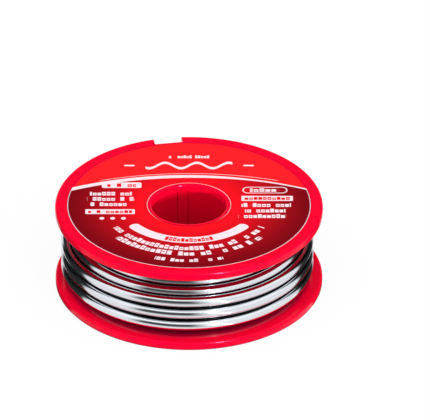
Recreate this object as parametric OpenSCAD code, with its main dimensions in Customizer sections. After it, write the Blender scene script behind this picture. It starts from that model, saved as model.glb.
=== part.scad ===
// Small spool of flux-cored solder wire: two snapped flange mouldings, two round
// labels and the winding. The origin is the centre of the lower face; +Z is the
// spool's axis. Lengths are in millimetres and angles in degrees from +X.

/* [Spool] */
// Outer diameter of both flanges
flange_d = 50; // [44:0.5:70]
// Height over the outer faces of both flanges
spool_h = 16.6; // [14:0.1:24]
// Thickness of each flange
flange_t = 1.6; // [1.2:0.1:2]
// Radius of the rounded flange rims
rim_edge = 0.4; // [0.1:0.05:0.5]
// Diameter of the bore that a spindle goes through
bore_d = 14; // [11:0.5:16]
// Radius of the rounded mouths of the bore
bore_edge = 0.3; // [0.1:0.05:0.4]
// Wall thickness of the barrel between the bore and the wire
barrel_wall = 1.45; // [1.45:0.05:2]

/* [Snap joint] */
// Number of tongues that snap the two mouldings together
tongue_count = 3; // [2:1:4]
// Width of each tongue
tongue_w = 1.9; // [1.5:0.1:2.4]
// Thickness of each tongue
tongue_t = 0.9; // [0.7:0.05:0.95]
// Distance from the bore's wall back to the face of a tongue
tongue_back = 0.05; // [0.03:0.01:0.1]
// Length of each tongue below the upper flange
tongue_l = 10; // [7:0.5:10.5]
// Reach of the hook out of its tongue
hook_out = 0.4; // [0.3:0.05:0.4]
// Height of the hook
hook_h = 1.2; // [1:0.1:1.6]
// Height of the slope that leads the hook in
hook_lead = 0.7; // [0.5:0.1:0.9]
// Open slot on each side of a tongue
slot_side = 0.3; // [0.2:0.05:0.6]
// Clearance behind a tongue and above its hook
snap_gap = 0.08; // [0.05:0.01:0.15]
// Clearance below the end of a tongue
tongue_end_gap = 0.4; // [0.2:0.1:0.6]
// Depth to which the barrel's top stands in the upper flange
seat_depth = 0.4; // [0.2:0.05:0.6]
// Radial clearance of the barrel's top in the upper flange
seat_gap = 0.05; // [0.02:0.01:0.1]

/* [Rim notch] */
// Width of the notch in the upper rim that holds the wire's end
notch_w = 5.3; // [4.5:0.1:8]
// Depth of the notch from the rim inwards
notch_depth = 2.2; // [1.6:0.1:2.2]
// Direction of the notch and of the first tongue
notch_angle = 99.5; // [0:0.5:359.5]

/* [Labels] */
// Width of the bare rim outside a label
label_rim = 2.3; // [2.3:0.1:4]
// Width of the bare plastic between the bore and a label
label_bore_rim = 0.75; // [0.6:0.05:1.5]
// Thickness of a label
label_t = 0.12; // [0.08:0.01:0.2]
// Depth of a label's face below the flange's outer face
label_sink = 0.03; // [0.02:0.01:0.06]
// Gap between a label's edge and the edge of its recess
label_gap = 0.05; // [0.02:0.01:0.08]

/* [Wire] */
// Diameter of the solder wire
wire_d = 2; // [1.6:0.1:2.4]
// Diameter of the flux inside the wire
flux_d = 0.76; // [0.4:0.02:0.9]
// Clearance between the flux and the metal round it
flux_gap = 0.02; // [0.01:0.01:0.04]
// Turns in the outermost layer, which is part full
outer_turns = 3; // [1:1:3]
// Turns by which the layer below it stops short of the upper flange
spare_turns = 1; // [0:1:1]
// Distance from the flange rim to the outside of the winding
winding_inset = 1.5; // [1:0.1:4]
// Least gap between turns side by side
turn_gap = 0.41; // [0.41:0.01:0.5]
// Least gap between a turn and the layer below it
layer_gap = 0.44; // [0.42:0.01:0.5]
// Gap between the winding and the mouldings that hold it
side_gap = 0.01; // [0.01:0.01:0.03]
// Angle over which the wire steps across to its next turn
step_angle = 75; // [60:15:75]

/* [Hidden] */

$fn = 96;
small_fn = 32;
overlap = 0.1;

// Colours
plastic_red = [0.90, 0.02, 0.16];
label_red = [0.85, 0.06, 0.05];
label_white = [0.94, 0.93, 0.91];
tin = [0.80, 0.81, 0.83];
tin_shade = [0.62, 0.63, 0.65];
flux_amber = [0.80, 0.60, 0.28];

// Mouldings
flange_r = flange_d / 2;
bore_r = bore_d / 2;
barrel_r = bore_r + barrel_wall;
upper_flange_z = spool_h - flange_t;
barrel_top_z = upper_flange_z + seat_depth;
tongue_end_z = upper_flange_z - tongue_l;
tongue_face_r = bore_r + tongue_back;
tongue_r = tongue_face_r + tongue_t;
channel_r = tongue_r + snap_gap;
channel_w = tongue_w + 2 * slot_side;
channel_end_z = tongue_end_z - tongue_end_gap;

// Labels and their recesses
label_r = flange_r - label_rim;
label_hole_r = bore_r + label_bore_rim;
recess_r = label_r + label_gap;
recess_hole_r = label_hole_r - label_gap;
recess_depth = label_t + label_sink;

// Winding: each layer is nested half a pitch beside the layer below it
wire_r = wire_d / 2;
hole_r = flux_d / 2 + flux_gap;
winding_span = spool_h - 2 * flange_t - 2 * side_gap - wire_d;
full_turns = floor(winding_span / (wire_d + turn_gap) + 0.5);
pitch = winding_span / (full_turns - 0.5);
inner_turns = full_turns - spare_turns;
turns = inner_turns + outer_turns;
layer_pitch = wire_d + layer_gap;
layer_step = sqrt(layer_pitch * layer_pitch - pitch * pitch / 4);
outer_path_r = flange_r - winding_inset - wire_r;
inner_path_r = outer_path_r - layer_step;

// Rings of the swept tubes
ring_sides = 6;
rings_per_turn = 24;
ring_angle = 360 / rings_per_turn;
core_r = (inner_path_r - wire_r) * cos(ring_angle / 2) - side_gap;

// The inner layer steps across in the first stretch behind the spool's middle,
// and the outer layer in the stretch before it, so that no two steps cross
rear_angle = 90;
inner_step_at = rear_angle + step_angle / 2;
outer_step_at = rear_angle - step_angle / 2;
path_start = rear_angle + step_angle + ring_angle;
path_end = 360 * turns + rear_angle - step_angle - ring_angle;
climb_start = 360 * inner_turns + rear_angle;
ring_count = ceil((path_end - path_start) / ring_angle) + 1;

// Height of the wire's centre in turn i, down the inner layer and up the outer one
function turn_z(i) =
    let (foot = flange_t + side_gap + wire_r)
    i < inner_turns ? foot + (inner_turns - 1 - i) * pitch : foot + (i - inner_turns + 0.5) * pitch;

function total(list) = list * [for (item = list) 1];
function smooth(x) = let (u = min(max(x, 0), 1)) u * u * (3 - 2 * u);

// Angle at which the wire is halfway from turn i - 1 to turn i
function step_at(i) = 360 * i + (i <= inner_turns ? inner_step_at : outer_step_at);

function path_z(a) = turn_z(0) + total([
    for (i = [1 : turns - 1])
        (turn_z(i) - turn_z(i - 1)) * smooth((a - step_at(i)) / step_angle + 0.5)
]);

// Axial distance at one angle from the wire to the nearest turn of the inner layer
function axial_gap(a) = min([
    for (below = [a - 360 : -360 : path_start])
        if (below <= climb_start) abs(path_z(a) - path_z(below))
]);

// The outer layer rides on the inner one: it sits deepest between two turns
function lift(a) =
    let (gap = a > climb_start ? axial_gap(a) : layer_pitch)
    sqrt(max(layer_pitch * layer_pitch - gap * gap, 0));

// A ring takes the next ring's lift where that is more, to keep the straight pieces between clear
function path_r(a) = inner_path_r + max(lift(a), lift(a + ring_angle));

function path_point(a) = [path_r(a) * cos(a), path_r(a) * sin(a), path_z(a)];
function unit(v) = v / norm(v);

// Centre line with a straight stub of one wire diameter at its outer end
path_angles = [for (i = [0 : ring_count - 1]) path_start + (path_end - path_start) * i / (ring_count - 1)];
wound_points = [for (a = path_angles) path_point(a)];
start_dir = [-sin(path_start), cos(path_start), 0];
end_dir = [-sin(path_end), cos(path_end), 0];
path_points = concat(wound_points, [wound_points[ring_count - 1] + wire_d * end_dir]);
last_ring = len(path_points) - 1;
path_dirs = [
    for (i = [0 : last_ring])
        i == 0 ? start_dir
        : i >= last_ring - 1 ? end_dir
        : unit(path_points[i + 1] - path_points[i - 1])
];

// Least distance from point p to the piece of centre line from a to b
function to_piece(p, a, b) =
    let (along = b - a, t = min(max((p - a) * along / (along * along), 0), 1))
    norm(p - a - t * along);

least_centres = min([
    for (i = [0 : last_ring - rings_per_turn / 2])
        for (j = [i + rings_per_turn / 2 : last_ring - 1])
            to_piece(path_points[i], path_points[j], path_points[j + 1])
]);
wire_length = total([for (i = [1 : last_ring]) norm(path_points[i] - path_points[i - 1])]);
echo(loops = turns, least_gap_mm = least_centres - wire_d, swept_wire_mm = wire_length);

// Points of one tube skin round the centre line, ring by ring
function skin_points(radius) = [
    for (i = [0 : last_ring])
        let (out = unit(cross(path_dirs[i], [0, 0, 1])), up = cross(out, path_dirs[i]))
            for (side = [0 : ring_sides - 1])
                let (turn = 360 * side / ring_sides)
                    path_points[i] + radius * (cos(turn) * out + sin(turn) * up)
];

// Triangles between rings of a skin whose points start at first; flip turns them inside out
function skin_faces(first, flip) = [
    for (i = [0 : last_ring - 1])
        for (side = [0 : ring_sides - 1])
            let (
                next = (side + 1) % ring_sides,
                a = first + i * ring_sides + side,
                b = first + i * ring_sides + next,
                c = a + ring_sides,
                d = b + ring_sides
            )
                each flip ? [[a, c, b], [b, c, d]] : [[a, b, c], [b, d, c]]
];

// Fan over one end ring of a solid tube
function end_fan(first, flip) = [
    for (side = [1 : ring_sides - 2])
        flip ? [first, first + side, first + side + 1] : [first, first + side + 1, first + side]
];

// Ring of triangles between the outer and inner skins at one end of a hollow tube
function end_ring(outer, inner, flip) = [
    for (side = [0 : ring_sides - 1])
        let (next = (side + 1) % ring_sides)
            each flip
                ? [[outer + side, outer + next, inner + side], [outer + next, inner + next, inner + side]]
                : [[outer + side, inner + side, outer + next], [outer + next, inner + side, inner + next]]
];

// Half section of one flange: outer face on y = 0, bore on the left, rounded rim on the right
module flange_section() {
    difference() {
        union() {
            translate([bore_r, 0]) square([flange_r - rim_edge - bore_r, flange_t]);
            translate([bore_r, rim_edge]) square([flange_r - bore_r, flange_t - 2 * rim_edge]);
            for (y = [rim_edge, flange_t - rim_edge])
                translate([flange_r - rim_edge, y]) circle(rim_edge, $fn = small_fn);
        }
        bore_mouth_section();
        translate([recess_hole_r, -overlap]) square([recess_r - recess_hole_r, recess_depth + overlap]);
    }
}

// What the rounded mouth of the bore takes away
module bore_mouth_section() {
    difference() {
        translate([bore_r - overlap, -overlap]) square(bore_edge + overlap);
        translate([bore_r + bore_edge, bore_edge]) circle(bore_edge, $fn = small_fn);
    }
}

// Places its children at the angle of each snap tongue
module each_tongue() {
    for (i = [0 : tongue_count - 1])
        rotate([0, 0, notch_angle + 360 * i / tongue_count]) children();
}

// One tongue with its hook, at angle 0, from its end up into the upper flange
module tongue() {
    tongue_top_z = barrel_top_z + overlap;
    intersection() {
        translate([0, 0, tongue_end_z]) difference() {
            cylinder(h = tongue_top_z - tongue_end_z, r = tongue_r);
            translate([0, 0, -overlap]) cylinder(h = tongue_top_z - tongue_end_z + 2 * overlap, r = tongue_face_r);
        }
        translate([0, -tongue_w / 2, tongue_end_z]) cube([tongue_r, tongue_w, tongue_top_z - tongue_end_z]);
    }
    hook_root_r = tongue_r - tongue_t / 2;
    translate([0, tongue_w / 2, tongue_end_z]) rotate([90, 0, 0]) linear_extrude(tongue_w) polygon([
        [hook_root_r, 0],
        [tongue_r, 0],
        [tongue_r + hook_out, hook_lead],
        [tongue_r + hook_out, hook_h],
        [hook_root_r, hook_h]
    ]);
}

// The groove in the barrel that a tongue lies in, and the window that its hook catches in
module tongue_channel() {
    translate([0, -channel_w / 2, channel_end_z]) {
        cube([channel_r, channel_w, barrel_top_z - channel_end_z + overlap]);
        cube([barrel_r + overlap, channel_w, tongue_end_gap + hook_h + snap_gap]);
    }
}

// The upper moulding, with the rim notch, the seat for the barrel and the tongues
module upper_flange() {
    color(plastic_red) {
        difference() {
            translate([0, 0, spool_h]) mirror([0, 0, 1]) rotate_extrude() flange_section();
            translate([0, 0, upper_flange_z - overlap]) cylinder(h = seat_depth + overlap, r = barrel_r + seat_gap);
            rotate([0, 0, notch_angle]) translate([flange_r - notch_depth, -notch_w / 2, upper_flange_z - overlap])
                cube([notch_depth + overlap, notch_w, flange_t + 2 * overlap]);
        }
        each_tongue() tongue();
    }
}

// The lower moulding: a flange with the barrel that carries the winding
module lower_flange() {
    color(plastic_red) difference() {
        rotate_extrude() {
            flange_section();
            translate([bore_r, flange_t - overlap]) square([barrel_wall, barrel_top_z - flange_t + overlap]);
        }
        each_tongue() tongue_channel();
    }
}

// A round label with its hole, from z = 0 up
module label() {
    difference() {
        cylinder(h = label_t, r = label_r);
        translate([0, 0, -overlap]) cylinder(h = label_t + 2 * overlap, r = label_hole_r);
    }
}

module face_label() {
    color(label_red) translate([0, 0, spool_h - recess_depth]) label();
}

module base_label() {
    color(label_white) translate([0, 0, label_sink]) label();
}

// The layers below the two outermost, as one plain ring of wound metal
module wound_core() {
    color(tin_shade) translate([0, 0, flange_t + side_gap]) difference() {
        cylinder(h = upper_flange_z - flange_t - 2 * side_gap, r = core_r);
        translate([0, 0, -overlap]) cylinder(h = spool_h, r = barrel_r + side_gap);
    }
}

// The two outermost layers, one unbroken hollow wire
module solder_wire() {
    skin_size = ring_sides * (last_ring + 1);
    end_at = ring_sides * last_ring;
    color(tin) polyhedron(
        points = concat(skin_points(wire_r), skin_points(hole_r)),
        faces = concat(
            skin_faces(0, false),
            skin_faces(skin_size, true),
            end_ring(0, skin_size, false),
            end_ring(end_at, skin_size + end_at, true)
        ),
        convexity = 10
    );
}

// The flux inside that wire
module flux_core() {
    color(flux_amber) polyhedron(
        points = skin_points(flux_d / 2),
        faces = concat(
            skin_faces(0, false),
            end_fan(0, false),
            end_fan(ring_sides * last_ring, true)
        ),
        convexity = 10
    );
}

upper_flange();
lower_flange();
face_label();
base_label();
wound_core();
solder_wire();
flux_core();
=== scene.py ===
"""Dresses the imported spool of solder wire: two red mouldings, a printed label and bright wound wire.

The row frame is in metres with +Z up the spool's axis. The classes below hold their sizes in millimetres.
"""
import logging
import math
from collections.abc import Iterable, Iterator
from dataclasses import dataclass, field
from enum import Enum
from functools import reduce

import bmesh
import bpy
import numpy as np
from mathutils import Matrix, Vector


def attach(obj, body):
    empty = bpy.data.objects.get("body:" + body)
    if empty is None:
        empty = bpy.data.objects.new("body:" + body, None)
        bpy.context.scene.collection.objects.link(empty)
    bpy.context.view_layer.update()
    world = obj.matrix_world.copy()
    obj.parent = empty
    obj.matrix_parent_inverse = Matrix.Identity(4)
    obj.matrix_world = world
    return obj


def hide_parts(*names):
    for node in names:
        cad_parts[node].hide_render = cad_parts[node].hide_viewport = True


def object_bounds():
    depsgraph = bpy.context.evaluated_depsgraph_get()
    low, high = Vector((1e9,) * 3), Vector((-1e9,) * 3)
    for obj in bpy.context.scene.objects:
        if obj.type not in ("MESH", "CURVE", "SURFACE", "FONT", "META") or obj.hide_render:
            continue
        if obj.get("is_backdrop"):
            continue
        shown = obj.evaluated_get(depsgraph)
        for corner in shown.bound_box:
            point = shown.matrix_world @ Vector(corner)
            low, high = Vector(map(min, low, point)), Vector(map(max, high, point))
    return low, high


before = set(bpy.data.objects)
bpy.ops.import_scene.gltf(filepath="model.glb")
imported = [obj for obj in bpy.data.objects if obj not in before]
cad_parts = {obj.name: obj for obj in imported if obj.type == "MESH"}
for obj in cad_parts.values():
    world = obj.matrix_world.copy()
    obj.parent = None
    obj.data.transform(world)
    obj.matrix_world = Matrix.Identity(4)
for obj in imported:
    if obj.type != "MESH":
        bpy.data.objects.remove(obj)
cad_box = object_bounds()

log = logging.getLogger("spool")
MM = 0.001
TAU = 2 * math.pi
DEGREES = 180 / math.pi
Colour = tuple[float, float, float, float]
Pair = tuple[float, float]


# ---------------------------------------------------------------- shader maths


class Signal:
    """A value in a material; arithmetic on it adds Math nodes."""

    def __init__(self, bench: "Bench", socket: bpy.types.NodeSocket) -> None:
        """Wraps one output socket of the bench's node tree."""
        self.bench = bench
        self.socket = socket

    def maths(self, operation: str, *others: "Signal | float") -> "Signal":
        """One Math node of this value and the others."""
        return self.bench.maths(operation, self, *others)

    def __add__(self, other: "Signal | float") -> "Signal":
        """self + other."""
        return self.maths("ADD", other)

    def __sub__(self, other: "Signal | float") -> "Signal":
        """self - other."""
        return self.maths("SUBTRACT", other)

    def __rsub__(self, other: float) -> "Signal":
        """other - self."""
        return self.bench.maths("SUBTRACT", other, self)

    def __mul__(self, other: "Signal | float") -> "Signal":
        """self * other."""
        return self.maths("MULTIPLY", other)

    def __truediv__(self, other: "Signal | float") -> "Signal":
        """self / other."""
        return self.maths("DIVIDE", other)

    def __neg__(self) -> "Signal":
        """-self."""
        return self.maths("MULTIPLY", -1.0)

    __radd__ = __add__
    __rmul__ = __mul__

    def at_least(self, other: "Signal | float") -> "Signal":
        """The larger of the two."""
        return self.maths("MAXIMUM", other)

    def at_most(self, other: "Signal | float") -> "Signal":
        """The smaller of the two."""
        return self.maths("MINIMUM", other)

    def hypot(self, other: "Signal") -> "Signal":
        """The long side of a right triangle whose short sides are these two."""
        return (self * self + other * other).maths("SQRT")

    def size(self) -> "Signal":
        """The absolute value."""
        return self.maths("ABSOLUTE")

    def ease(self, low: float, high: float) -> "Signal":
        """A smooth step from 0 at low to 1 at high; low may be the larger one."""
        inputs = {"Value": self, "From Min": low, "From Max": high}
        settings = {"interpolation_type": "SMOOTHSTEP", "clamp": False}
        return self.bench.node("ShaderNodeMapRange", settings, inputs)


class Bench:
    """Builds one node tree."""

    def __init__(self, tree: bpy.types.NodeTree) -> None:
        """Starts on an empty tree."""
        self.tree = tree
        tree.nodes.clear()

    def node(self, kind: str, settings: dict, inputs: dict, output: str | int = 0) -> Signal:
        """Adds a node.

        Args:
            kind: the node's type.
            settings: its properties, which are set first.
            inputs: a value or a Signal for each socket, by name or number.
            output: the name or number of the output socket.

        Returns:
            The chosen output.
        """
        made = self.tree.nodes.new(kind)
        for name, value in settings.items():
            setattr(made, name, value)
        for key, value in inputs.items():
            if isinstance(value, Signal):
                self.tree.links.new(value.socket, made.inputs[key])
            else:
                made.inputs[key].default_value = value
        return Signal(self, made.outputs[output] if len(made.outputs) else None)

    def maths(self, operation: str, *operands: Signal | float) -> Signal:
        """One Math node of these operands."""
        return self.node("ShaderNodeMath", {"operation": operation}, dict(enumerate(operands)))

    def place(self) -> Signal:
        """The point in the object's own space, in millimetres."""
        at = self.node("ShaderNodeTexCoord", {}, {}, "Object")
        return self.node("ShaderNodeVectorMath", {"operation": "SCALE"}, {0: at, "Scale": 1 / MM})

    def split(self, vector: Signal) -> tuple[Signal, Signal, Signal]:
        """The three parts of a vector."""
        made = self.node("ShaderNodeSeparateXYZ", {}, {0: vector})
        return tuple(Signal(self, out) for out in made.socket.node.outputs)

    def join(self, x: Signal | float, y: Signal | float, z: Signal | float) -> Signal:
        """A vector from three parts."""
        return self.node("ShaderNodeCombineXYZ", {}, {0: x, 1: y, 2: z})

    def noise(self, at: Signal, scale: float, detail: float = 2.0, rough: float = 0.5) -> Signal:
        """Soft noise from 0 to 1 at a point."""
        inputs = {"Vector": at, "Scale": scale, "Detail": detail, "Roughness": rough}
        return self.node("ShaderNodeTexNoise", {"noise_dimensions": "3D"}, inputs)

    def chance(self, at: Signal, seed: float) -> Signal:
        """One random number from 0 to 1 for each whole number at."""
        return self.node("ShaderNodeTexWhiteNoise", {"noise_dimensions": "1D"}, {"W": at + seed})

    def openness(self, reach: float) -> Signal:
        """How freely a point lies within a reach in millimetres: 0 in a deep corner, 1 on a free face."""
        return self.node("ShaderNodeAmbientOcclusion", {"samples": 12}, {"Distance": reach * MM}, "AO")

    def blend(self, share: Signal | float, under: Signal | Colour, over: Signal | Colour) -> Signal:
        """Two colours mixed; share is that of the second."""
        inputs = {0: share, 6: under, 7: over}
        return self.node("ShaderNodeMix", {"data_type": "RGBA", "blend_type": "MIX"}, inputs, 2)

    def bump(self, height: Signal, strength: float, depth_mm: float) -> Signal:
        """A bumped normal from a height."""
        inputs = {"Strength": strength, "Distance": depth_mm * MM, "Height": height}
        return self.node("ShaderNodeBump", {}, inputs)

    def finish(self, inputs: dict) -> None:
        """Ends a material in one Principled surface with these inputs."""
        shader = self.node("ShaderNodeBsdfPrincipled", {}, inputs)
        self.node("ShaderNodeOutputMaterial", {}, {"Surface": shader})


def new_material(name: str) -> tuple[bpy.types.Material, Bench]:
    """Adds an empty node material.

    Args:
        name: the material's name.

    Returns:
        The material and the bench for its nodes.
    """
    material = bpy.data.materials.new(name)
    material.use_nodes = True
    return material, Bench(material.node_tree)


# ---------------------------------------------------------------- finishes


@dataclass(frozen=True)
class MouldedPlastic:
    """Glossy red polystyrene with faint flow marks and hairline scuffs.

    Painted shade makes its bore a deeper red and darkens its corners.
    """

    slot: str = "red_plastic"
    red: Colour = (0.96, 0.0002, 0.030, 1.0)
    deep_red: Colour = (0.91, 0.0001, 0.026, 1.0)
    # Painted shade: a deeper red for the bore below the upper flange's mouth.
    bore_shade_red: Colour = (0.64, 0.0001, 0.018, 1.0)
    # Painted shade: the darker red that corners take, by how enclosed they lie.
    corner_shade: Colour = (0.38, 0.0001, 0.030, 1.0)
    corner: float = 1.8
    corner_ease: Pair = (0.86, 0.32)
    bore_shade_r: Pair = (8.3, 8.1)
    bore_shade_top: Pair = (15.5, 15.0)
    gloss_tint: Colour = (1.0, 0.10, 0.24, 1.0)
    roughness: float = 0.13

    def material(self) -> bpy.types.Material:
        """Builds the material."""
        material, bench = new_material("moulded_red_plastic")
        at = bench.place()
        x, y, z = bench.split(at)
        clouds = bench.noise(at, 0.12, 3.0)
        grain = bench.noise(at, 2.6, 2.0)
        scuffs = bench.noise(bench.join(x * 0.35, y * 5.0, z * 2.0), 1.0, 3.0).ease(0.62, 0.72)
        # Painted shade inside the bore.
        bore_shade = x.hypot(y).ease(*self.bore_shade_r) * z.ease(*self.bore_shade_top)
        moulded = bench.blend(clouds.ease(0.3, 0.8), self.red, self.deep_red)
        # Painted shade in corners, from an ambient-occlusion mask.
        moulded = bench.blend(bench.openness(self.corner).ease(*self.corner_ease), moulded, self.corner_shade)
        bench.finish({
            "Base Color": bench.blend(bore_shade, moulded, self.bore_shade_red),
            "Roughness": self.roughness + grain * 0.05 + scuffs * 0.12,
            "IOR": 1.55,
            "Specular IOR Level": 0.24,
            "Specular Tint": self.gloss_tint,
            "Normal": bench.bump(grain * 0.6 + clouds, 0.06, 0.05),
        })
        return material


@dataclass(frozen=True)
class DrawnSolder:
    """Bright tin alloy drawn through a die: streaks run along the wire, and painted shade darkens its
    grooves.
    """

    slot: str = "solder"
    bright: Colour = (0.79, 0.82, 0.87, 1.0)
    dull: Colour = (0.58, 0.60, 0.63, 1.0)
    # Painted shade: the dark colour of the grooves between turns.
    groove_shade: Colour = (0.10, 0.10, 0.11, 1.0)
    groove: float = 1.4
    groove_ease: Pair = (0.60, 0.30)
    roughness: float = 0.07

    def material(self) -> bpy.types.Material:
        """Builds the material on the strand attribute: millimetres along the wire and the place round it."""
        material, bench = new_material("drawn_solder")
        strand = bench.node("ShaderNodeAttribute", {"attribute_name": "strand"}, {}, "Vector")
        along, across, up = bench.split(strand)
        streaks = bench.noise(bench.join(along * 0.03, across * 9.0, up * 9.0), 1.0, 4.0, 0.6)
        cloud = bench.noise(bench.join(along * 0.11, across * 0.7, up * 0.7), 1.0, 3.0)
        marks = bench.noise(bench.join(along * 1.3, across * 2.2, up * 2.2), 1.0, 2.0).ease(0.66, 0.74)
        worn = (streaks.ease(0.5, 0.72) * 0.45 + cloud.ease(0.5, 0.8) * 0.35 + marks * 0.25).at_most(1.0)
        drawn = bench.blend(worn, self.bright, self.dull)
        # Painted shade in the grooves between turns, from an ambient-occlusion mask.
        grooves = bench.openness(self.groove).ease(*self.groove_ease)
        bench.finish({
            "Base Color": bench.blend(grooves, drawn, self.groove_shade),
            "Metallic": 1.0,
            "Roughness": self.roughness + streaks * 0.05 + cloud * 0.03 + marks * 0.04,
            "Normal": bench.bump(streaks, 0.03, 0.03),
        })
        return material


@dataclass(frozen=True)
class AmberFlux:
    """Hard resin with a slightly crazed face."""

    slot: str = "flux"
    amber: Colour = (0.72, 0.43, 0.12, 1.0)
    pale: Colour = (0.86, 0.66, 0.34, 1.0)

    def material(self) -> bpy.types.Material:
        """Builds the material."""
        material, bench = new_material("amber_flux")
        crumbs = bench.noise(bench.place(), 6.0, 3.0)
        bench.finish({
            "Base Color": bench.blend(crumbs, self.amber, self.pale),
            "Roughness": 0.45 + crumbs * 0.2,
            "Normal": bench.bump(crumbs, 0.3, 0.03),
        })
        return material


@dataclass(frozen=True)
class Bar:
    """A bar of print: where its middle lies across and up, its size, and the radius of its corners."""

    across: float
    up: float
    length: float
    height: float
    corner: float


@dataclass(frozen=True)
class Blocks:
    """A line of blocks that stands for small print: its middle and size, its seed, and the blocks' pitch."""

    across: float
    up: float
    length: float
    height: float
    seed: float
    pitch: float = 0.86


class Ink:
    """Draws flat print as masks, 1 on the mark and 0 off it, on two coordinates in millimetres.

    A block's widths are parts of its pitch, and its heights are parts of the line's height.
    """

    edge = 0.05
    block: Pair = (0.45, 0.37)
    word_gap = 0.13
    tall_share = 0.45
    drop = 0.24
    whole_share = 0.30
    slit_block: Pair = (0.27, 0.20)
    slit = 0.09
    slit_depth = 0.9
    end_corner = 0.02
    tall_seed = 0.37
    slit_seed = 0.71

    def __init__(self, bench: Bench, across: Signal, up: Signal) -> None:
        """Draws on a label whose coordinates these are."""
        self.bench = bench
        self.across = across
        self.up = up

    @staticmethod
    def gather(masks: Iterable[Signal]) -> Signal:
        """One mask that holds all of these, joined as each is drawn, which keeps the material light."""
        return reduce(Signal.at_least, masks)

    def fill(self, distance: Signal) -> Signal:
        """A mask from the distance outside a mark."""
        return distance.ease(self.edge, -self.edge)

    def line(self, distance: Signal, half: Signal | float) -> Signal:
        """A line of this half width where a distance is 0."""
        return self.fill(distance.size() - half)

    def bar_distance(self, bar: Bar) -> Signal:
        """Distance outside a bar, negative inside: that outside its inner box, less its corner.

        Args:
            bar: the bar.

        Returns:
            The distance in millimetres.
        """
        over_x = (self.across - bar.across).size() - (bar.length / 2 - bar.corner)
        over_y = (self.up - bar.up).size() - (bar.height / 2 - bar.corner)
        outside = over_x.at_least(0.0).hypot(over_y.at_least(0.0))
        return outside + over_x.at_least(over_y).at_most(0.0) - bar.corner

    def bar(self, bar: Bar) -> Signal:
        """A filled bar."""
        return self.fill(self.bar_distance(bar))

    def outline(self, bar: Bar, width: float) -> Signal:
        """The outline of a bar, as wide as this."""
        return self.line(self.bar_distance(bar), width / 2)

    def chosen(self, block: Signal, seed: float, share: float) -> Signal:
        """0 for about this share of the blocks and 1 for the others, picked by the seed."""
        return self.bench.chance(block, seed).ease(share, share + 0.01)

    def blocks(self, line: Blocks) -> Signal:
        """A line of plain blocks of two heights with word gaps, some of them slit.

        Args:
            line: the line of blocks.

        Returns:
            The mask.
        """
        step = (self.across - line.across) / line.pitch
        block = step.maths("FLOOR")
        beside = (step - block - 0.5).size()
        solid = beside.ease(*self.block) * self.chosen(block, line.seed, self.word_gap)
        short = self.chosen(block, line.seed + self.tall_seed, self.tall_share) * self.drop * line.height
        off_middle = (self.up - line.up + short / 2).size()
        slit = self.chosen(block, line.seed + self.slit_seed, self.whole_share)
        slit = slit * beside.ease(*self.slit_block) * self.fill(off_middle - self.slit * line.height)
        body = self.fill(off_middle - (line.height - short) / 2)
        whole = self.bar(Bar(line.across, line.up, line.length, line.height, self.end_corner))
        return whole * solid * body * (1 - slit * self.slit_depth)


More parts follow.
